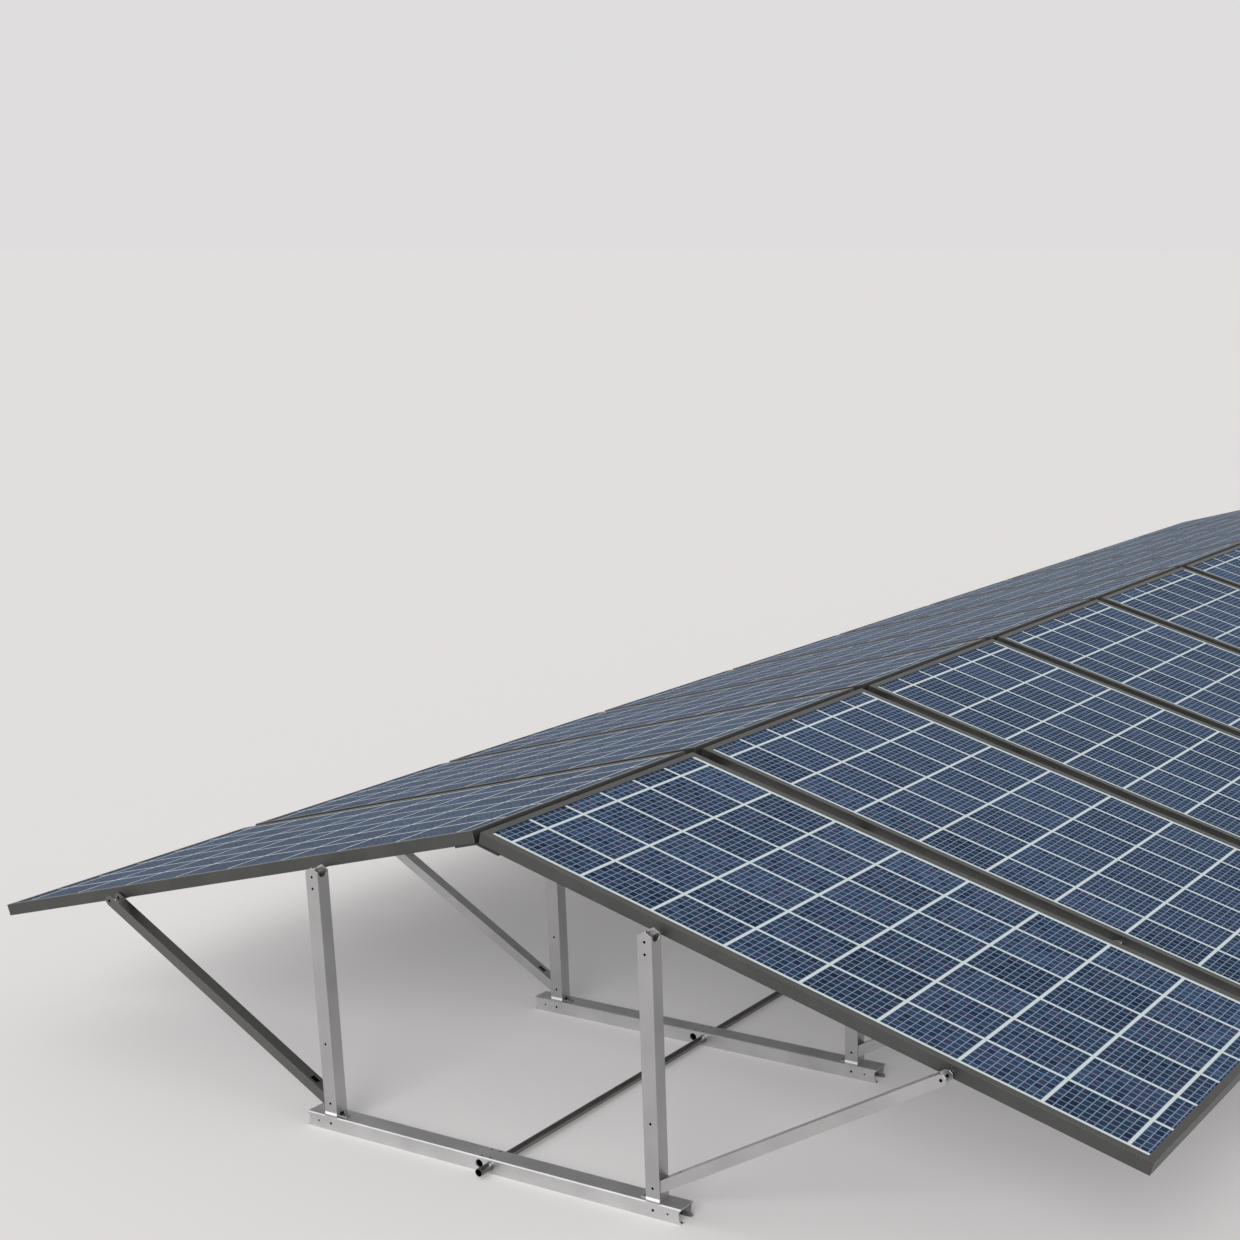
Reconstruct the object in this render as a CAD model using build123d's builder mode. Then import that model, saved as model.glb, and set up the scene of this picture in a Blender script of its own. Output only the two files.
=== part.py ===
from build123d import *
from math import cos, radians, sin, tan
import os

os.makedirs("parts", exist_ok=True)

# East-west ballast rack: a long roof-shaped row of solar modules on low
# portal frames. Millimetres and degrees. The row runs along Y, X crosses
# it, and the origin is on the ground under the middle of the ridge.

# ---------------------------------------------------------------- row
bays = 10
tilt = 15.0
ridge_height = 956.0
ridge_gap = 30.0
module_gap = 54.0

# ------------------------------------------------------------ modules
module_length = 1956.0
module_width = 992.0
module_height = 35.0
frame_wall = 2.0
frame_lip = 21.0
frame_foot = 28.0
laminate_thickness = 5.0
laminate_edge_gap = 1.0
mitre_gap = 0.2
box_length = 120.0
box_width = 80.0
box_height = 18.0
box_from_ridge = 110.0

# --------------------------------------------------------- base rails
rail_length = 1288.0
rail_width = 62.0
rail_height = 43.0
rail_wall = 2.5
rail_lip = 14.0
rail_bend = 3.0
rail_end_notch = 7.0

# ----------------------------------------------------------- tie tube
tube_diameter = 23.5
tube_wall = 1.5
tube_overhang = 46.0
tube_offset = 18.0
tube_clearance = 0.4
tube_sections = 3
sleeve_length = 52.0
sleeve_wall = 1.5
sleeve_fit = 0.1

# -------------------------------------------------------------- posts
post_place = 556.0
post_width = 44.0
post_depth = 41.6
post_wall = 2.5
post_module_gap = 0.4
peak_rise = 10.0
post_shoulder = 12.5
head_notch_width = 31.0
head_notch_depth = 15.0
head_notch_corner = 8.0
strut_gate_height = 91.0
toe_height = 12.0
toe_lean = 2.2
foot_tab = 24.0
foot_tab_width = 17.0
foot_notch_height = 12.0

# ------------------------------------------------------------- struts
strut_angle = 30.0
strut_height = 31.0
strut_wall = 2.5
strut_pivot_height = 77.0
strut_side_gap = 0.3
strut_foot_gap = 2.0
foot_window_length = 26.0
foot_window_width = 16.0
foot_window_place = 91.0
ear_pin_beyond = 5.8
web_cutback = 28.0

# ------------------------------------------------ saddles, ridge plates
saddle_wall = 3.0
saddle_reach = 26.0
saddle_fit = 0.3
post_bar_width = 20.0
post_bar_place = 559.0
strut_bar_width = 16.0
strut_bar_upslope = 8.0
ridge_plate_reach = 72.0
ridge_plate_wall = 4.0
ridge_plate_lead = 3.0

# ---------------------------------------------------- derived places
module_pitch = module_width + module_gap
rail_places = [(number - bays / 2) * module_pitch for number in range(bays + 1)]
# Every portal stands in the gap in front of a module, close to the module's edge.
# The front faces of its posts lie over the front edge of the flat of the rail.
post_setback = post_depth / 2 + post_module_gap
rail_setback = post_setback + post_depth / 2 - rail_width / 2 + rail_bend
edge_places = [place + rail_setback for place in rail_places]
module_starts = edge_places[:-1]
post_places = [edge - post_setback for edge in edge_places]

slope_cos = cos(radians(tilt))
slope_sin = sin(radians(tilt))
slope_tan = tan(radians(tilt))
strut_cos = cos(radians(strut_angle))
strut_sin = sin(radians(strut_angle))


def underside(x):
    """Height of the modules' lower faces at the distance x from the ridge line."""
    return ridge_height - (x - ridge_gap / 2) * slope_tan - module_height / slope_cos


def module_plane(side, start):
    """Plane on a module's lower face: x runs down the slope from the ridge end.

    The west plane is the east one turned half round the row's vertical axis.
    """
    corner_x = ridge_gap / 2 - module_height * slope_sin
    corner_z = ridge_height - module_height * slope_cos
    return Plane(
        origin=(side * corner_x, start, corner_z),
        x_dir=(side * slope_cos, 0, -slope_sin),
        z_dir=(side * slope_sin, 0, slope_cos),
    )


def module_start(side, bay):
    """Y of the corner from which a module's own plane counts."""
    return module_starts[bay] if side > 0 else module_starts[bay] + module_width


sides = {"east": 1, "west": -1}
rail_top = rail_height
tube_height = rail_height / 2
tube_hole_radius = tube_diameter / 2 + tube_clearance
post_inner = post_place - post_width / 2
post_outer = post_place + post_width / 2
post_peak = underside(post_place) + peak_rise
strut_depth = post_depth - 2 * post_wall - 2 * strut_side_gap

# Measured along the strut from the post's middle to where its axis meets the
# plane of the modules' lower faces.
post_room = (underside(post_place) - strut_pivot_height) * slope_cos
strut_meets_run = post_room / sin(radians(strut_angle + tilt))
strut_pin_run = strut_meets_run + ear_pin_beyond
web_end_run = strut_pin_run - web_cutback
strut_bar_place = post_place + strut_meets_run * strut_cos - strut_bar_upslope * slope_cos
strut_plane = Plane(
    origin=(post_place, 0, strut_pivot_height),
    x_dir=(strut_cos, 0, strut_sin),
    z_dir=(0, -1, 0),
)


def save(part, name):
    part.label = name
    export_step(part, f"parts/{name}.step")


def save_both(row, name):
    """Save a row of the east side, and its mirror image on the west side."""
    save(row, f"east_{name}")
    with BuildPart() as west_row:
        mirror(row, about=Plane.YZ)
    save(west_row.part, f"west_{name}")


# ------------------------------------------------------- module frames
def frame_bar(length):
    """One mitred aluminium extrusion along +X, its outer face at y = 0."""
    lip_under = module_height - frame_wall
    with BuildPart() as bar:
        with BuildSketch(Plane.YZ):
            with BuildLine():
                Polyline(
                    (0, 0),
                    (frame_foot, 0),
                    (frame_foot, frame_wall),
                    (frame_wall, frame_wall),
                    (frame_wall, lip_under),
                    (frame_lip, lip_under),
                    (frame_lip, module_height),
                    (0, module_height),
                    close=True,
                )
            make_face()
        extrude(amount=length)
        split(bisect_by=Plane(origin=(mitre_gap, 0, 0), z_dir=(1, -1, 0)))
        split(bisect_by=Plane(origin=(length - mitre_gap, 0, 0), z_dir=(-1, -1, 0)))
    return bar.part


long_bar = frame_bar(module_length)
short_bar = frame_bar(module_width)

with BuildPart() as module_frame:
    add(long_bar)
    with Locations(Location((module_length, module_width, 0), (0, 0, 180))):
        add(long_bar)
    with Locations(Location((0, module_width, 0), (0, 0, -90))):
        add(short_bar)
    with Locations(Location((module_length, 0, 0), (0, 0, 90))):
        add(short_bar)

laminate_inset = frame_wall + laminate_edge_gap
laminate_base = module_height - frame_wall - laminate_thickness
with BuildPart() as laminate:
    with Locations((module_length / 2, module_width / 2, laminate_base)):
        Box(
            module_length - 2 * laminate_inset,
            module_width - 2 * laminate_inset,
            laminate_thickness,
            align=(Align.CENTER, Align.CENTER, Align.MIN),
        )

with BuildPart() as junction_box:
    with BuildSketch(Plane.XY.offset(laminate_base)):
        with Locations((box_from_ridge, module_width / 2)):
            Rectangle(box_width, box_length)
    extrude(amount=-box_height)

for side_name, side in sides.items():
    for bay in range(bays):
        plane = module_plane(side, module_start(side, bay))
        with BuildPart() as placed_frame:
            with Locations(plane.location):
                add(module_frame.part)
        save(placed_frame.part, f"{side_name}_module_frame_{bay + 1:02d}")

    planes = [module_plane(side, module_start(side, bay)) for bay in range(bays)]
    with BuildPart() as laminates:
        with Locations(*[plane.location for plane in planes]):
            add(laminate.part)
    save(laminates.part, f"{side_name}_laminates")

    with BuildPart() as junction_boxes:
        with Locations(*[plane.location for plane in planes]):
            add(junction_box.part)
    save(junction_boxes.part, f"{side_name}_junction_boxes")

# ---------------------------------------------------------- base rails
notch_half = rail_height / 2 - rail_wall
rail_end = rail_length / 2

with BuildPart() as base_rail:
    with BuildSketch(Plane.YZ) as rail_section:
        with Locations((0, rail_height / 2)):
            Rectangle(rail_width, rail_height)
        chamfer(rail_section.vertices().group_by(Axis.Y)[-1], rail_bend)
        offset(amount=-rail_wall, mode=Mode.SUBTRACT)
        Rectangle(
            rail_width - 2 * rail_lip,
            2 * rail_wall,
            mode=Mode.SUBTRACT,
        )
    extrude(amount=rail_length / 2, both=True)
    # Both flanges are cut back a little at each end, and bored with flats for the tie tube.
    with BuildSketch(Plane.XZ):
        for end in (1, -1):
            with BuildLine():
                Polyline(
                    (end * rail_end, tube_height - notch_half),
                    (end * (rail_end - rail_end_notch), tube_height - notch_half / 2),
                    (end * (rail_end - rail_end_notch), tube_height + notch_half / 2),
                    (end * rail_end, tube_height + notch_half),
                    close=True,
                )
            make_face()
        with Locations((tube_offset, tube_height), (-tube_offset, tube_height)):
            RegularPolygon(tube_hole_radius, 10, major_radius=False)
    extrude(amount=rail_width, both=True, mode=Mode.SUBTRACT)

for number, place in enumerate(rail_places, start=1):
    with BuildPart() as placed_rail:
        with Locations((0, place, 0)):
            add(base_rail.part)
    save(placed_rail.part, f"base_rail_{number:02d}")

# ------------------------------------------------------------ tie tube
tube_half = rail_places[-1] + rail_width / 2 + tube_overhang
splice_places = [rail_places[round(bays * n / tube_sections)] for n in range(1, tube_sections)]
tube_ends = [-tube_half] + splice_places + [tube_half]
sleeve_radius = tube_diameter / 2 - tube_wall - sleeve_fit

for number in range(tube_sections):
    section_start = tube_ends[number]
    section_length = tube_ends[number + 1] - section_start
    with BuildPart() as tube_section:
        with BuildSketch(Plane.XZ.offset(-section_start)):
            with Locations((tube_offset, tube_height)):
                Circle(tube_diameter / 2)
                Circle(tube_diameter / 2 - tube_wall, mode=Mode.SUBTRACT)
        extrude(amount=-section_length)
    save(tube_section.part, f"tie_tube_{number + 1:02d}")

with BuildPart() as splice_sleeves:
    for place in splice_places:
        with BuildSketch(Plane.XZ.offset(-place)):
            with Locations((tube_offset, tube_height)):
                Circle(sleeve_radius)
                Circle(sleeve_radius - sleeve_wall, mode=Mode.SUBTRACT)
        extrude(amount=sleeve_length / 2, both=True)
save(splice_sleeves.part, "splice_sleeves")

# --------------------------------------------------------------- posts
house = [
    (post_inner, rail_top - toe_lean),
    (post_outer, rail_top - toe_lean),
    (post_outer, post_peak - post_shoulder),
    (post_place, post_peak),
    (post_inner, post_peak - post_shoulder),
]
flange_face = post_depth / 2
flange_inside = flange_face - post_wall
notch_half = head_notch_width / 2
notch_floor = post_peak - post_shoulder - head_notch_depth
head_notch = [
    (-notch_half, post_peak),
    (-notch_half, notch_floor + head_notch_corner),
    (head_notch_corner - notch_half, notch_floor),
    (notch_half - head_notch_corner, notch_floor),
    (notch_half, notch_floor + head_notch_corner),
    (notch_half, post_peak),
]
front_toe = [
    (-flange_inside, rail_top),
    (-flange_inside, rail_top + toe_height),
    (-flange_face, rail_top + toe_height),
    (-flange_face - toe_lean, rail_top - toe_lean),
    (-flange_face, rail_top),
]

with BuildPart() as post:
    with BuildSketch(Plane.XY.offset(rail_top)):
        with Locations((post_place, 0)):
            Rectangle(post_width, post_depth)
            Rectangle(post_width - 2 * post_wall, 2 * flange_inside, mode=Mode.SUBTRACT)
    extrude(amount=post_peak - rail_top)
    # The flanges end in a roof shape, a little above the modules' lower faces.
    with BuildSketch(Plane.XZ):
        with BuildLine():
            Polyline(*house, close=True)
        make_face()
    extrude(amount=post_depth, both=True, mode=Mode.INTERSECT)
    # Both webs are notched between the roof shapes.
    with BuildSketch(Plane.YZ.offset(post_inner)):
        with BuildLine():
            Polyline(*head_notch, close=True)
        make_face()
    extrude(amount=post_width, mode=Mode.SUBTRACT)
    # The outer web is open at the foot, where the strut comes in.
    with Locations((post_outer - post_wall / 2, 0, rail_top + strut_gate_height / 2)):
        Box(post_wall, 2 * flange_inside, strut_gate_height, mode=Mode.SUBTRACT)
    # The front flange splays into a toe over the bend of the rail.
    with BuildSketch(Plane.YZ.offset(post_inner)):
        with BuildLine():
            Polyline(*front_toe, close=True)
        make_face()
    extrude(amount=post_width)
    # The inner web is cut through above a tab that lies flat on the rail.
    with Locations((post_inner + post_wall / 2, 0, rail_top + foot_notch_height / 2)):
        Box(post_wall, foot_tab_width, foot_notch_height, mode=Mode.SUBTRACT)
    with BuildSketch(Plane.XY.offset(rail_top)):
        with Locations((post_inner - (foot_tab - post_wall) / 2, 0)):
            Rectangle(foot_tab + post_wall, foot_tab_width)
    extrude(amount=post_wall)

# -------------------------------------------------------------- struts
strut_half = strut_height / 2
foot_cut = (post_inner + post_wall + strut_foot_gap - post_place) / strut_cos
foot_slant = tan(radians(strut_angle))
strut_side = [
    (foot_cut + strut_half * foot_slant, strut_half),
    (foot_cut - strut_half * foot_slant, -strut_half),
]
# The side walls end in ears, rounded about the head pin.
for turn in (180, 135, 90, 45, 0):
    ear_run = strut_pin_run + strut_half * sin(radians(turn))
    strut_side.append((ear_run, strut_half * cos(radians(turn))))

with BuildPart() as strut:
    with BuildSketch(strut_plane):
        with BuildLine():
            Polyline(*strut_side, close=True)
        make_face()
    extrude(amount=strut_depth / 2, both=True)
    # Hollow from end to end.
    with BuildSketch(strut_plane):
        with Locations((strut_pin_run / 2, 0)):
            Rectangle(2 * strut_pin_run, strut_height - 2 * strut_wall)
    extrude(amount=strut_depth / 2 - strut_wall, both=True, mode=Mode.SUBTRACT)
    # Upper and lower wall stop short of the ears.
    with BuildSketch(strut_plane):
        with Locations((web_end_run + strut_pin_run / 2, 0)):
            Rectangle(strut_pin_run, 2 * strut_height)
    extrude(amount=strut_depth / 2 - strut_wall, both=True, mode=Mode.SUBTRACT)
    with Locations(strut_plane.location):
        with Locations((foot_window_place, strut_half, 0)):
            Box(foot_window_length, 4 * strut_wall, foot_window_width, mode=Mode.SUBTRACT)


# ------------------------------------------------------------- saddles
def support_plane(place_x):
    """Plane of the modules' lower faces on the east side, at the distance place_x."""
    return Plane(
        origin=(place_x, 0, underside(place_x)),
        x_dir=(slope_cos, 0, -slope_sin),
        z_dir=(slope_sin, 0, slope_cos),
    )


def slotted(part, bar_place, bar_width, half_depth, ends):
    """The part with slots for a saddle in its front (-1) wall, its rear (1) wall or both.

    The saddle lies on the slot's floor, with play at its sides and above it.
    """
    slot_width = bar_width + 2 * saddle_fit
    slot_height = saddle_wall + saddle_fit
    slots = [(0, end * half_depth, saddle_fit - slot_height / 2) for end in ends]
    with BuildPart() as cut_part:
        add(part)
        with Locations(support_plane(bar_place).location):
            with Locations(*slots):
                Box(slot_width, 3 * post_wall, slot_height, mode=Mode.SUBTRACT)
    return cut_part.part


def saddle(bar_place, bar_width, half_inside, ends):
    """A bar that reaches under the modules on the given ends.

    At an end without modules it stops against the inside of the wall.
    """
    low = post_setback - module_gap - saddle_reach if -1 in ends else -half_inside
    high = post_setback + saddle_reach if 1 in ends else half_inside
    with BuildPart() as bar:
        with Locations(support_plane(bar_place).location):
            with Locations((0, (low + high) / 2, -saddle_wall / 2)):
                Box(bar_width, high - low, saddle_wall)
    return bar.part


def row_of(shapes_by_ends):
    """One east row from the shapes for the first, the inner and the last portals."""
    first, inner, last = shapes_by_ends
    shapes = [first] + [inner] * (bays - 1) + [last]
    with BuildPart() as row:
        for shape, place in zip(shapes, post_places):
            with Locations((0, place, 0)):
                add(shape)
    return row.part


# ---------------------------------------------- placed on each portal
# The first portal carries modules behind it only, the last one in front only.
portal_ends = [(1,), (-1, 1), (-1,)]
post_bar = (post_bar_place, post_bar_width)
strut_bar = (strut_bar_place, strut_bar_width)

slotted_posts = [slotted(post.part, *post_bar, flange_face, ends) for ends in portal_ends]
slotted_struts = [slotted(strut.part, *strut_bar, strut_depth / 2, ends) for ends in portal_ends]
post_saddles = [saddle(*post_bar, flange_inside, ends) for ends in portal_ends]
strut_saddles = [saddle(*strut_bar, strut_depth / 2 - strut_wall, ends) for ends in portal_ends]
save_both(row_of(slotted_posts), "posts")
save_both(row_of(slotted_struts), "struts")
save_both(row_of(post_saddles), "post_saddles")
save_both(row_of(strut_saddles), "strut_saddles")

# -------------------------------------------------------- ridge plates
with BuildPart() as ridge_plates:
    for number, edge in enumerate(edge_places):
        low = edge - module_gap - frame_foot
        high = edge + frame_foot
        if number == 0:
            low = edge - ridge_plate_lead
        if number == bays:
            high = edge - module_gap + ridge_plate_lead
        drop = ridge_plate_wall / slope_cos
        with BuildSketch(Plane.XZ.offset(-low)):
            with BuildLine():
                Polyline(
                    (-ridge_plate_reach, underside(ridge_plate_reach)),
                    (0, underside(0)),
                    (ridge_plate_reach, underside(ridge_plate_reach)),
                    (ridge_plate_reach, underside(ridge_plate_reach) - drop),
                    (0, underside(0) - drop),
                    (-ridge_plate_reach, underside(ridge_plate_reach) - drop),
                    close=True,
                )
            make_face()
        extrude(amount=low - high)
save(ridge_plates.part, "ridge_plates")
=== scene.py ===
import math

import bmesh
import bpy
from mathutils import Matrix, Vector


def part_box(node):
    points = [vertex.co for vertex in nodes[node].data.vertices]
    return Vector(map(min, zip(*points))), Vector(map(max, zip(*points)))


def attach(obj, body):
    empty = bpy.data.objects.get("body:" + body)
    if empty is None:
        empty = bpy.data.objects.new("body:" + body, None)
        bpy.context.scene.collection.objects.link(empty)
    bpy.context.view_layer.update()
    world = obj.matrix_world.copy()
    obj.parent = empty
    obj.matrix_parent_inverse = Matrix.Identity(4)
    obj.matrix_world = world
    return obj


# East-west ballast rack with two slopes of solar modules, dressed over the
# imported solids. Metres; the row runs along Y, X crosses it, Z is up.

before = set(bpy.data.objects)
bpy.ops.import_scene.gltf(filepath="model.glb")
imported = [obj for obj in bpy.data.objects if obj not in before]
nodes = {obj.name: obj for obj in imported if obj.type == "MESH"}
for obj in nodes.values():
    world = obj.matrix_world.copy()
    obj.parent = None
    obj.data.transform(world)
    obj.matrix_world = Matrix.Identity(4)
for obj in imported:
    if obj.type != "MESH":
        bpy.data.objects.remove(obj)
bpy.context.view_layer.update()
scene = bpy.context.scene
scene.view_settings.view_transform = "Standard"

# ------------------------------------------------------------ real sizes
TILT = math.radians(15)
RIDGE_HALF_GAP = 0.015
MODULE_PITCH = 1.046
MODULE_WIDTH = 0.992
ROW_START = -5.216
# The cells' grid, down the slope and along the row. Its gaps and contact lines
# are drawn coarser than on a real cell.
CELL_LENGTH = 0.22473
CELL_WIDTH = 0.158
FIRST_CROSS_LINE = 0.08179
FIRST_COLUMN_LINE = 0.17988
CELL_GAP = 0.0088
FINGERS_ALONG = 10
FINGERS_ACROSS = 6
GLASS_BORDER = 0.0341
LINE_HALF_WIDTH = 0.0014
# Posts: the setback is from a module's edge to the post's middle.
POST_X = 0.556
POST_SETBACK = 0.0212
POST_OUTER = 0.578
POST_HALF_WIDTH = 0.022
POST_HALF_DEPTH = 0.0208
POST_WALL = 0.0025
POST_HOLE_HEIGHTS = (0.7574, 0.724, 0.2635, 0.082)
POST_HOLE_RADIUS = 0.0038
GATE_TOP = 0.134
STRUT_ENTERS = (0.0700, 0.1080)
TOE_THICKNESS = 0.001
TOE_BELOW = 0.002
TOE_ABOVE = 0.012
# Struts: the pin's run is measured along the strut from its pivot.
STRUT_ANGLE = math.radians(30)
STRUT_PIVOT_HEIGHT = 0.077
STRUT_PIN_RUN = 0.959
STRUT_HALF_DEPTH = 0.018
EAR_WALL = 0.0025
PIN_RADIUS = 0.0045
# Base rails: each side hole has its place along the rail and its radius.
RAIL_HALF_WIDTH = 0.031
RAIL_TOP = 0.043
RAIL_HOLES = ((0.557, 0.0040), (0.603, 0.0030))
TUBE_SCREW_PLACE = (0.015, 0.021)
TUBE_SCREW_RADIUS = 0.0028
# The spare bore is as far from the rail's middle as the tie tube, on its other side.
TUBE_OFFSET = 0.018
# The painted shade disc in each spare bore: its depth behind the wall, its radius and how far it
# stands out.
BORE_SHADE_DEPTH = 0.0262
BORE_SHADE_RADIUS = 0.0121
BORE_SHADE_PROUD = 0.001
# Drawn details stand this far off the walls they lie on.
PROUD = 0.0002
DISC_SIDES = 14
SHEET_BREAK = 0.0003


# -------------------------------------------------------------- materials
def srgb(code):
    """A hex colour as linear red, green, blue and alpha."""
    parts = [int(code[i : i + 2], 16) / 255 for i in (1, 3, 5)]
    linear = [p / 12.92 if p <= 0.04045 else ((p + 0.055) / 1.055) ** 2.4 for p in parts]
    return (*linear, 1.0)


def add(mat, kind, settings=None, **links):
    """Adds a shader node; links maps an input's name (or _index) to an output."""
    made = mat.node_tree.nodes.new(kind)
    for key, value in (settings or {}).items():
        if isinstance(key, int) or key in made.inputs:
            made.inputs[key].default_value = value
        else:
            setattr(made, key, value)
    for key, value in links.items():
        name = int(key[1:]) if key.startswith("_") else key.replace("_", " ")
        mat.node_tree.links.new(value, made.inputs[name])
    return made


def blank(name, colour, metallic, roughness):
    """A new material and its surface shader."""
    mat = bpy.data.materials.new(name)
    mat.use_nodes = True
    shader = mat.node_tree.nodes["Principled BSDF"]
    shader.inputs["Base Color"].default_value = srgb(colour)
    shader.inputs["Metallic"].default_value = metallic
    shader.inputs["Roughness"].default_value = roughness
    return mat, shader


def link(mat, output, target):
    """Joins one output to one input of a material."""
    mat.node_tree.links.new(output, target)


def metal(name, dark, light, roughness, grain, bump):
    """Bare sheet metal: faint streaks along the way it was rolled or drawn,
    soft clouds in its tone, and edges that are broken just enough to catch light.

    grain is the size of its streaks in metres along X, Y and Z.
    """
    mat, shader = blank(name, light, 1.0, roughness)
    place = add(mat, "ShaderNodeTexCoord")
    scale = add(
        mat,
        "ShaderNodeMapping",
        {"Scale": tuple(1 / g for g in grain)},
        Vector=place.outputs["Object"],
    )
    streaks = add(
        mat, "ShaderNodeTexNoise", {"Scale": 1.0, "Detail": 3.0}, Vector=scale.outputs[0]
    )
    clouds = add(
        mat,
        "ShaderNodeTexNoise",
        {"Scale": 1 / 0.12, "Detail": 2.0},
        Vector=place.outputs["Object"],
    )
    tone = add(
        mat,
        "ShaderNodeMix",
        {"Factor": 0.75},
        _2=streaks.outputs["Fac"],
        _3=clouds.outputs["Fac"],
    )
    colour = add(mat, "ShaderNodeValToRGB", Fac=tone.outputs[0])
    colour.color_ramp.elements[0].position = 0.3
    colour.color_ramp.elements[0].color = srgb(dark)
    colour.color_ramp.elements[1].position = 0.7
    colour.color_ramp.elements[1].color = srgb(light)
    link(mat, colour.outputs[0], shader.inputs["Base Color"])
    gloss = add(
        mat,
        "ShaderNodeMapRange",
        {"To Min": roughness - 0.04, "To Max": roughness + 0.04},
        Value=tone.outputs[0],
    )
    link(mat, gloss.outputs[0], shader.inputs["Roughness"])
    edges = add(mat, "ShaderNodeBevel", {"Radius": 0.0015, "samples": 4})
    relief = add(
        mat,
        "ShaderNodeBump",
        {"Strength": bump, "Distance": 0.0001},
        Height=streaks.outputs["Fac"],
        Normal=edges.outputs[0],
    )
    link(mat, relief.outputs[0], shader.inputs["Normal"])
    return mat


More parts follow.
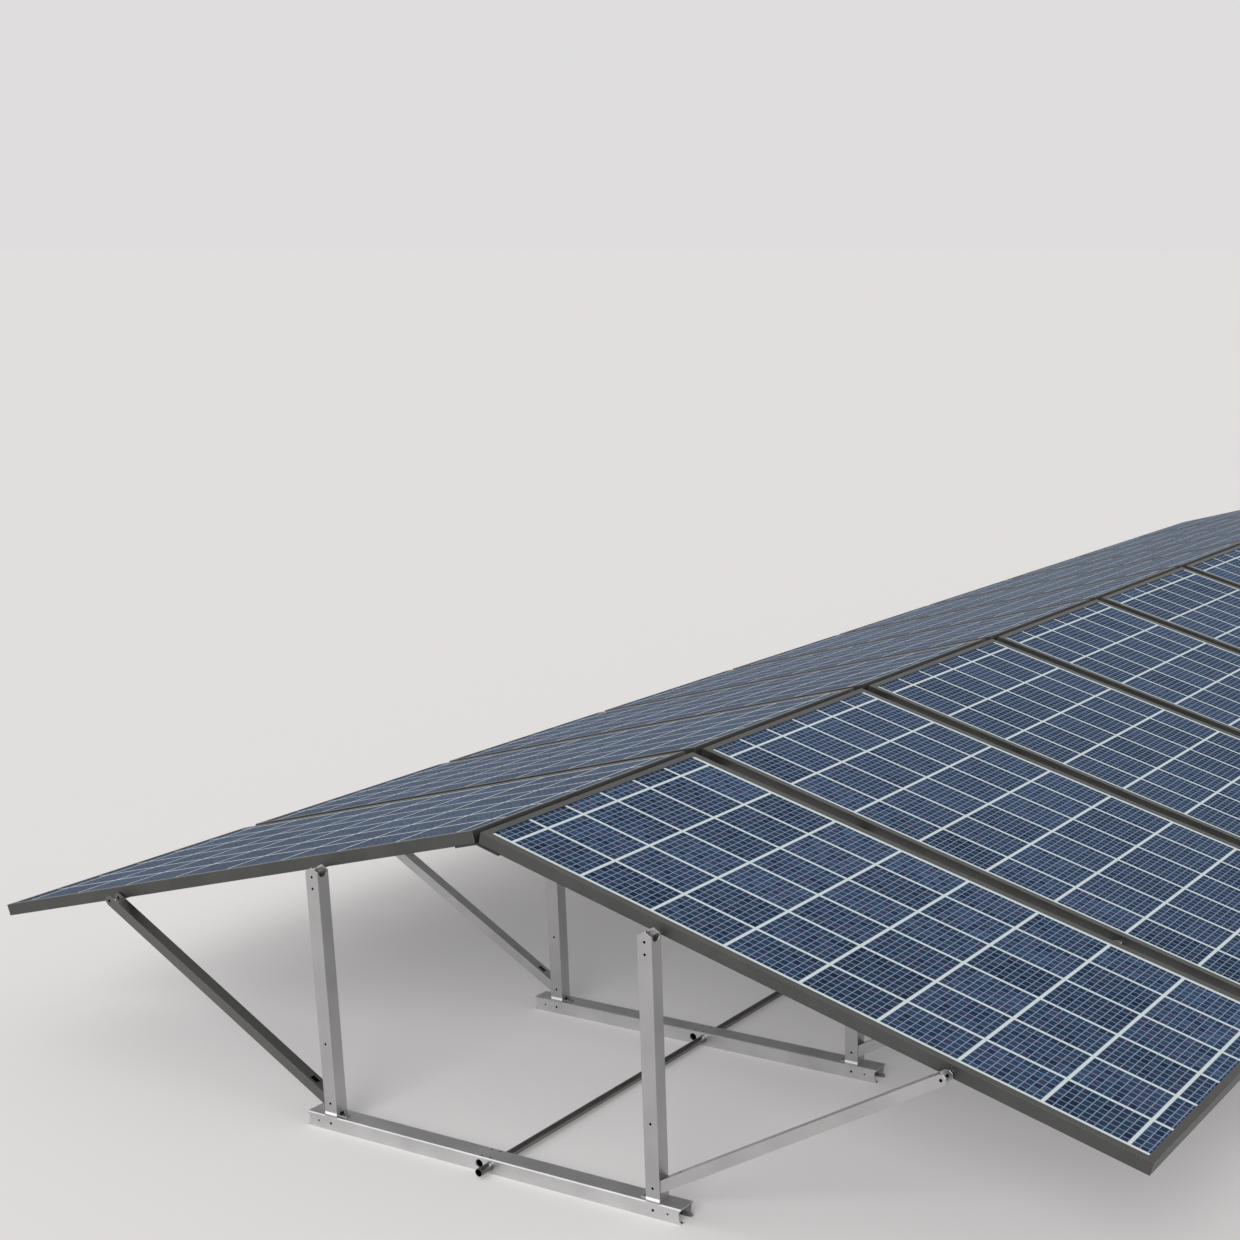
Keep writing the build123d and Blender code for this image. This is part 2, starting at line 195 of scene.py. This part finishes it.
def solar_glass():
    """Textured glass with an anti-reflective coat over blue silicon cells.

    The cells are set out down the slope and along the row, with white backsheet
    between them and fine silver contact lines across them; each small patch of
    silicon has its own blue. The sheet's lower face is the white backsheet.
    """
    mat, shader = blank("solar_glass", "#31415e", 0.0, 0.4)
    shader.inputs["Specular IOR Level"].default_value = 0.002
    place = add(mat, "ShaderNodeTexCoord")
    xyz = add(mat, "ShaderNodeSeparateXYZ", Vector=place.outputs["Object"])
    across = add(mat, "ShaderNodeMath", {"operation": "ABSOLUTE"}, _0=xyz.outputs["X"])
    slope = add(
        mat,
        "ShaderNodeMath",
        {"operation": "MULTIPLY_ADD", 1: 1 / math.cos(TILT), 2: -RIDGE_HALF_GAP / math.cos(TILT)},
        _0=across.outputs[0],
    )
    along = add(
        mat,
        "ShaderNodeMath",
        {"operation": "WRAP", 1: ROW_START + MODULE_PITCH, 2: ROW_START},
        _0=xyz.outputs["Y"],
    )
    module = add(
        mat,
        "ShaderNodeMath",
        {"operation": "SUBTRACT"},
        _0=xyz.outputs["Y"],
        _1=along.outputs[0],
    )

    # Cell numbers, and the place inside each cell from 0 to 1.
    flat = add(mat, "ShaderNodeCombineXYZ", X=slope.outputs[0], Y=along.outputs[0])
    cell = add(
        mat,
        "ShaderNodeMapping",
        {
            "vector_type": "TEXTURE",
            "Location": (FIRST_CROSS_LINE, ROW_START + FIRST_COLUMN_LINE, 0),
            "Scale": (CELL_LENGTH, CELL_WIDTH, 1),
        },
        Vector=flat.outputs[0],
    )
    number = add(mat, "ShaderNodeVectorMath", {"operation": "FLOOR"}, _0=cell.outputs[0])
    inside = add(mat, "ShaderNodeVectorMath", {"operation": "FRACTION"}, _0=cell.outputs[0])

    # White gaps: further from the cell's middle than half its own size.
    from_middle = add(
        mat,
        "ShaderNodeVectorMath",
        {"operation": "SUBTRACT", 1: (0.5, 0.5, 0)},
        _0=inside.outputs[0],
    )
    spread = add(mat, "ShaderNodeVectorMath", {"operation": "ABSOLUTE"}, _0=from_middle.outputs[0])
    past_cell = add(
        mat,
        "ShaderNodeVectorMath",
        {
            "operation": "SUBTRACT",
            1: (0.5 - CELL_GAP / 2 / CELL_LENGTH, 0.5 - CELL_GAP / 2 / CELL_WIDTH, 1),
        },
        _0=spread.outputs[0],
    )
    past = add(mat, "ShaderNodeSeparateXYZ", Vector=past_cell.outputs[0])
    off_middle = add(
        mat,
        "ShaderNodeMath",
        {"operation": "SUBTRACT", 1: ROW_START + MODULE_WIDTH / 2},
        _0=along.outputs[0],
    )
    to_side = add(mat, "ShaderNodeMath", {"operation": "ABSOLUTE"}, _0=off_middle.outputs[0])
    past_border = add(
        mat,
        "ShaderNodeMath",
        {"operation": "SUBTRACT", 1: MODULE_WIDTH / 2 - GLASS_BORDER},
        _0=to_side.outputs[0],
    )
    widest = add(
        mat, "ShaderNodeMath", {"operation": "MAXIMUM"}, _0=past.outputs["X"], _1=past.outputs["Y"]
    )
    outside = add(
        mat,
        "ShaderNodeMath",
        {"operation": "MAXIMUM"},
        _0=widest.outputs[0],
        _1=past_border.outputs[0],
    )
    white = add(mat, "ShaderNodeMath", {"operation": "GREATER_THAN", 1: 0.0}, _0=outside.outputs[0])

    # Silver contact lines: near a whole number of patches from the cell's edge.
    patch_length = (CELL_LENGTH - CELL_GAP) / FINGERS_ALONG
    patch_width = (CELL_WIDTH - CELL_GAP) / FINGERS_ACROSS
    patches = add(
        mat,
        "ShaderNodeVectorMath",
        {
            "operation": "MULTIPLY_ADD",
            1: (CELL_LENGTH / patch_length, CELL_WIDTH / patch_width, 0),
            2: (-CELL_GAP / 2 / patch_length, -CELL_GAP / 2 / patch_width, 0),
        },
        _0=inside.outputs[0],
    )
    patch = add(mat, "ShaderNodeVectorMath", {"operation": "FLOOR"}, _0=patches.outputs[0])
    within = add(mat, "ShaderNodeVectorMath", {"operation": "FRACTION"}, _0=patches.outputs[0])
    centred = add(
        mat,
        "ShaderNodeVectorMath",
        {"operation": "SUBTRACT", 1: (0.5, 0.5, 0)},
        _0=within.outputs[0],
    )
    reach = add(mat, "ShaderNodeVectorMath", {"operation": "ABSOLUTE"}, _0=centred.outputs[0])
    past_patch = add(
        mat,
        "ShaderNodeVectorMath",
        {
            "operation": "SUBTRACT",
            1: (0.5 - LINE_HALF_WIDTH / patch_length, 0.5 - LINE_HALF_WIDTH / patch_width, 1),
        },
        _0=reach.outputs[0],
    )
    over = add(mat, "ShaderNodeSeparateXYZ", Vector=past_patch.outputs[0])
    nearest = add(
        mat, "ShaderNodeMath", {"operation": "MAXIMUM"}, _0=over.outputs["X"], _1=over.outputs["Y"]
    )
    silver_line = add(
        mat, "ShaderNodeMath", {"operation": "GREATER_THAN", 1: 0.0}, _0=nearest.outputs[0]
    )

    # Each patch and each cell has its own tone, from their numbers.
    cell_seed = add(
        mat,
        "ShaderNodeVectorMath",
        {"operation": "MULTIPLY_ADD", 1: (20, 20, 0)},
        _0=number.outputs[0],
        _2=patch.outputs[0],
    )
    module_seed = add(mat, "ShaderNodeCombineXYZ", Z=module.outputs[0])
    patch_seed = add(
        mat,
        "ShaderNodeVectorMath",
        {"operation": "ADD"},
        _0=cell_seed.outputs[0],
        _1=module_seed.outputs[0],
    )
    cell_key = add(
        mat,
        "ShaderNodeVectorMath",
        {"operation": "ADD"},
        _0=number.outputs[0],
        _1=module_seed.outputs[0],
    )
    patch_tone = add(mat, "ShaderNodeTexWhiteNoise", Vector=patch_seed.outputs[0])
    cell_tone = add(mat, "ShaderNodeTexWhiteNoise", Vector=cell_key.outputs[0])
    tint = add(mat, "ShaderNodeValToRGB", Fac=patch_tone.outputs["Value"])
    tint.color_ramp.elements[0].color = srgb("#20283a")
    tint.color_ramp.elements[1].color = srgb("#34455b")
    tint.color_ramp.elements.new(0.45).color = srgb("#293c50")
    tint.color_ramp.elements.new(0.86).color = srgb("#333549")
    lift = add(
        mat,
        "ShaderNodeMath",
        {"operation": "MULTIPLY_ADD", 1: 0.5, 2: 0.8},
        _0=cell_tone.outputs["Value"],
    )
    silicon = add(
        mat,
        "ShaderNodeVectorMath",
        {"operation": "SCALE"},
        _0=tint.outputs[0],
        Scale=lift.outputs[0],
    )
    contacts = add(
        mat,
        "ShaderNodeMix",
        {"data_type": "RGBA", 7: srgb("#71829a")},
        _0=silver_line.outputs[0],
        _6=silicon.outputs[0],
    )
    sheet = add(
        mat,
        "ShaderNodeMix",
        {"data_type": "RGBA", 7: srgb("#b8c2c1")},
        _0=white.outputs[0],
        _6=contacts.outputs[2],
    )
    facing = add(mat, "ShaderNodeSeparateXYZ", Vector=place.outputs["Normal"])
    under = add(mat, "ShaderNodeMath", {"operation": "LESS_THAN", 1: 0.0}, _0=facing.outputs["Z"])
    face = add(
        mat,
        "ShaderNodeMix",
        {"data_type": "RGBA", 7: srgb("#cfd2d3")},
        _0=under.outputs[0],
        _6=sheet.outputs[2],
    )
    link(mat, face.outputs[2], shader.inputs["Base Color"])
    return mat


def plastic(name, colour, roughness):
    """Moulded polymer with a fine spark-eroded texture."""
    mat, shader = blank(name, colour, 0.0, roughness)
    place = add(mat, "ShaderNodeTexCoord")
    texture = add(
        mat,
        "ShaderNodeTexNoise",
        {"Scale": 1 / 0.0015, "Detail": 2.0},
        Vector=place.outputs["Object"],
    )
    relief = add(
        mat, "ShaderNodeBump", {"Strength": 0.2, "Distance": 0.0002}, Height=texture.outputs["Fac"]
    )
    link(mat, relief.outputs[0], shader.inputs["Normal"])
    return mat


# Streak sizes along X, Y and Z, for metal worked along the row, across it,
# upright, or the same in every direction.
ALONG_ROW = (0.004, 0.35, 0.004)
ACROSS_ROW = (0.35, 0.004, 0.004)
UPRIGHT = (0.004, 0.004, 0.35)
EVEN = (0.02, 0.02, 0.02)

# Bare pale aluminium: the rails are lighter and a little glossier than the posts.
rail_metal = metal("mill_aluminium_rail", "#c9c9c9", "#dcdcdc", 0.38, ACROSS_ROW, 0.1)
# The posts are a flat mid grey, streaked upright.
post_metal = metal("mill_aluminium_post", "#b2b2b2", "#bfbfbf", 0.4, UPRIGHT, 0.1)
# The struts are a shade lighter than the posts, streaked across the row.
strut_metal = metal("mill_aluminium_strut", "#b7b7b7", "#c4c4c4", 0.36, ACROSS_ROW, 0.1)
# Painted shade: the west strut of the first portal is given a darker colour than the rest, for the
# shade that falls on it under the west module.
strut_place = add(strut_metal, "ShaderNodeTexCoord")
strut_xyz = add(strut_metal, "ShaderNodeSeparateXYZ", Vector=strut_place.outputs["Object"])
strut_west = add(
    strut_metal,
    "ShaderNodeMath",
    {"operation": "LESS_THAN", 1: 0.0},
    _0=strut_xyz.outputs["X"],
)
strut_first = add(
    strut_metal,
    "ShaderNodeMath",
    {"operation": "LESS_THAN", 1: ROW_START},
    _0=strut_xyz.outputs["Y"],
)
strut_painted_shade_mask = add(
    strut_metal,
    "ShaderNodeMath",
    {"operation": "MULTIPLY"},
    _0=strut_west.outputs[0],
    _1=strut_first.outputs[0],
)
strut_shader = strut_metal.node_tree.nodes["Principled BSDF"]
strut_painted_shade_tone = add(
    strut_metal,
    "ShaderNodeMix",
    {"data_type": "RGBA", 7: srgb("#727270")},
    _0=strut_painted_shade_mask.outputs[0],
    _6=strut_shader.inputs["Base Color"].links[0].from_socket,
)
link(strut_metal, strut_painted_shade_tone.outputs[2], strut_shader.inputs["Base Color"])
# Dark drawn steel with a tight shine along the tube.
tube_metal = metal("drawn_steel_tube", "#6b6a68", "#82817f", 0.16, ALONG_ROW, 0.05)
# Grey zinc with a soft mottle, on the saddle bars.
bracket_metal = metal("zinc_coated_steel", "#8f8f8c", "#a8a8a5", 0.36, EVEN, 0.15)
# A darker zinc, so that the ridge plates sink into the line between the modules.
ridge_metal = metal("dark_zinc_plate", "#4b4a48", "#585754", 0.4, EVEN, 0.15)
# Satin charcoal extrusions round the glass.
frame_metal = metal("dark_anodised_aluminium", "#575857", "#616260", 0.45, ACROSS_ROW, 0.05)
glass = solar_glass()
# Near-black satin boxes under the glass.
box_plastic = plastic("black_ppo_moulding", "#1c1c1d", 0.45)
# Painted shade: flat black with no highlight, for the dark inside of the spare bores.
bore_shade_paint = plastic("painted_bore_shade", "#050505", 1.0)
bore_shade_paint.node_tree.nodes["Principled BSDF"].inputs["Specular IOR Level"].default_value = 0.0
# Painted shade: flat black with no highlight, for the unlit inside of a section seen through a
# hole.
hole_shade_paint, hole_shader = blank("painted_hole_shade", "#050505", 0.0, 1.0)
hole_shader.inputs["Specular IOR Level"].default_value = 0.0
# Painted highlight: a near-white sheet along the foot of each post, standing for the light caught
# there.
toe_highlight_paint = metal("painted_toe_highlight", "#f0f0f0", "#fafafa", 0.5, ACROSS_ROW, 0.05)
toe_highlight_paint.node_tree.nodes["Principled BSDF"].inputs["Metallic"].default_value = 0.3

finishes = {
    "base_rail": rail_metal,
    "tie_tube": tube_metal,
    "splice_sleeves": tube_metal,
    "posts": post_metal,
    "struts": strut_metal,
    "saddles": bracket_metal,
    "ridge_plates": ridge_metal,
    "module_frame": frame_metal,
    "laminates": glass,
    "junction_boxes": box_plastic,
}
for name, node in nodes.items():
    for part, mat in finishes.items():
        if part in name:
            for material_slot in node.material_slots:
                material_slot.link = "OBJECT"
                material_slot.material = mat

# ------------------------------------------------------------- small pieces
rails = [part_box(name) for name in sorted(nodes) if name.startswith("base_rail")]
rail_places = [(low[1] + high[1]) / 2 for low, high in rails]
post_places = [ROW_START - POST_SETBACK + number * MODULE_PITCH for number in range(len(rails))]


def piece(name, mesh, mat):
    """A finished piece that rides on the rack."""
    data = bpy.data.meshes.new(name)
    mesh.to_mesh(data)
    mesh.free()
    data.materials.append(mat)
    made = bpy.data.objects.new(name, data)
    scene.collection.objects.link(made)
    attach(made, "root")
    return made


def disc(mesh, centre, normal, radius, proud):
    """A flat round face, raised so that it stands proud of a wall."""
    turn = Vector((0, 0, 1)).rotation_difference(Vector(normal)).to_matrix().to_4x4()
    place = Matrix.Translation(centre) @ turn
    made = bmesh.ops.create_circle(
        mesh, cap_ends=True, segments=DISC_SIDES, radius=radius, matrix=place
    )
    faces = {face for vert in made["verts"] for face in vert.link_faces}
    raised = bmesh.ops.extrude_face_region(mesh, geom=list(faces))
    tops = [item for item in raised["geom"] if isinstance(item, bmesh.types.BMVert)]
    bmesh.ops.translate(mesh, verts=tops, vec=Vector(normal) * proud)


# Holes, the pin holes in the strut ears and tube screws are dark discs on the walls and the rails'
# tops; on the holes the black is painted shade for the unlit inside of the section.
holes = bmesh.new()
pin_x = POST_X + STRUT_PIN_RUN * math.cos(STRUT_ANGLE)
pin_height = STRUT_PIVOT_HEIGHT + STRUT_PIN_RUN * math.sin(STRUT_ANGLE)
ear_inside = STRUT_HALF_DEPTH - EAR_WALL
screw_x, screw_y = TUBE_SCREW_PLACE
for rail, post in zip(rail_places, post_places):
    for side in (1, -1):
        for face in (1, -1):
            outward = (0, face, 0)
            for height in POST_HOLE_HEIGHTS:
                centre = (side * POST_X, post + face * POST_HALF_DEPTH, height)
                disc(holes, centre, outward, POST_HOLE_RADIUS, PROUD)
            for wall in (STRUT_HALF_DEPTH, -ear_inside):
                centre = (side * pin_x, post + face * wall, pin_height)
                disc(holes, centre, outward, PIN_RADIUS, PROUD)
            for place, radius in RAIL_HOLES:
                centre = (side * place, rail + face * RAIL_HALF_WIDTH, RAIL_TOP / 2)
                disc(holes, centre, outward, radius, PROUD)
            centre = (side * screw_x, rail + face * screw_y, RAIL_TOP)
            disc(holes, centre, (0, 0, 1), TUBE_SCREW_RADIUS, PROUD)
piece("hole_shade_discs", holes, hole_shade_paint)

# Black discs just behind each rail's front and rear walls fill the spare bore: painted shade for
# its dark inside.
bore_shade_mesh = bmesh.new()
for rail in rail_places:
    for face in (1, -1):
        centre = (-TUBE_OFFSET, rail + face * BORE_SHADE_DEPTH, RAIL_TOP / 2)
        disc(bore_shade_mesh, centre, (0, face, 0), BORE_SHADE_RADIUS, BORE_SHADE_PROUD)
piece("bore_shade_discs", bore_shade_mesh, bore_shade_paint)


def plate(mesh, low, high):
    """A thin sheet between two corners, with its edges broken."""
    middle = (Vector(low) + Vector(high)) / 2
    size = Vector(high) - Vector(low)
    place = Matrix.Translation(middle) @ Matrix.Diagonal((*size, 1))
    made = bmesh.ops.create_cube(mesh, size=1, matrix=place)
    edges = list({edge for vert in made["verts"] for edge in vert.link_edges})
    bmesh.ops.bevel(
        mesh,
        geom=edges,
        offset=SHEET_BREAK,
        segments=1,
        affect="EDGES",
        profile=0.5,
        material=-1,
    )


# The outer web of every post is cut close round the strut that enters it, and a thin near-white
# sheet on the front of each post's foot is a painted highlight.
webs = bmesh.new()
toe_highlight_mesh = bmesh.new()
web_half = POST_HALF_DEPTH - POST_WALL
for post in post_places:
    toe_back = post - POST_HALF_DEPTH - PROUD
    for side in (1, -1):
        inner, outer = sorted((side * (POST_OUTER - POST_WALL), side * POST_OUTER))
        for low, high in ((RAIL_TOP, STRUT_ENTERS[0]), (STRUT_ENTERS[1], GATE_TOP)):
            plate(webs, (inner, post - web_half, low), (outer, post + web_half, high))
        left, right = sorted((side * (POST_OUTER - 2 * POST_HALF_WIDTH), side * POST_OUTER))
        plate(
            toe_highlight_mesh,
            (left, toe_back - TOE_THICKNESS, RAIL_TOP - TOE_BELOW),
            (right, toe_back, RAIL_TOP + TOE_ABOVE),
        )
piece("foot_webs", webs, post_metal)
piece("toe_highlight_sheets", toe_highlight_mesh, toe_highlight_paint)

# ---------------------------------------------------------- floor and light
FLOOR_HALF_SIZE = 1500
STUDIO_TONE = "#dfddde"
LAMP_TARGET = (0, -5.2, 0)

room = bmesh.new()
bmesh.ops.create_grid(room, x_segments=1, y_segments=1, size=FLOOR_HALF_SIZE)
floor_mesh = bpy.data.meshes.new("floor")
room.to_mesh(floor_mesh)
room.free()
floor = bpy.data.objects.new("floor", floor_mesh)
scene.collection.objects.link(floor)
# Matt pale screed with a faint glow, which brings it close to the backdrop's tone.
floor_mat, floor_shader = blank("pale_screed", "#bcbab9", 0.0, 1.0)
floor_shader.inputs["Specular IOR Level"].default_value = 0.0
floor_shader.inputs["Emission Color"].default_value = srgb(STUDIO_TONE)
floor_shader.inputs["Emission Strength"].default_value = 0.2
floor_mesh.materials.append(floor_mat)

world = bpy.data.worlds.new("studio")
scene.world = world
world.use_nodes = True
world.node_tree.nodes["Background"].inputs["Color"].default_value = srgb(STUDIO_TONE)
world.node_tree.nodes["Background"].inputs["Strength"].default_value = 1.0


def aim(lamp, place, target):
    """Hangs a lamp at a place and turns it to a target."""
    made = bpy.data.objects.new(lamp.name, lamp)
    made.location = place
    made.rotation_euler = (Vector(target) - Vector(place)).to_track_quat("-Z", "Y").to_euler()
    scene.collection.objects.link(made)


overhead = bpy.data.lights.new("overhead", "SUN")
overhead.energy = 0.45
overhead.angle = math.radians(60)
aim(overhead, (-4.6, -8.0, 8.4), LAMP_TARGET)
front = bpy.data.lights.new("front", "SUN")
front.energy = 2.1
front.angle = math.radians(32)
aim(front, (2.5, -14.0, 5.6), LAMP_TARGET)

camera_data = bpy.data.cameras.new("camera")
camera_data.sensor_width = 36
camera_data.lens = 58.23
camera_data.shift_x = -0.2018
camera_data.shift_y = 0.1796
camera_data.clip_end = 4000
camera = bpy.data.objects.new("camera", camera_data)
camera.location = (3.336, -9.119, 2.4185)
camera.rotation_euler = (math.radians(73.47), 0, math.radians(28.95))
scene.collection.objects.link(camera)
scene.camera = camera
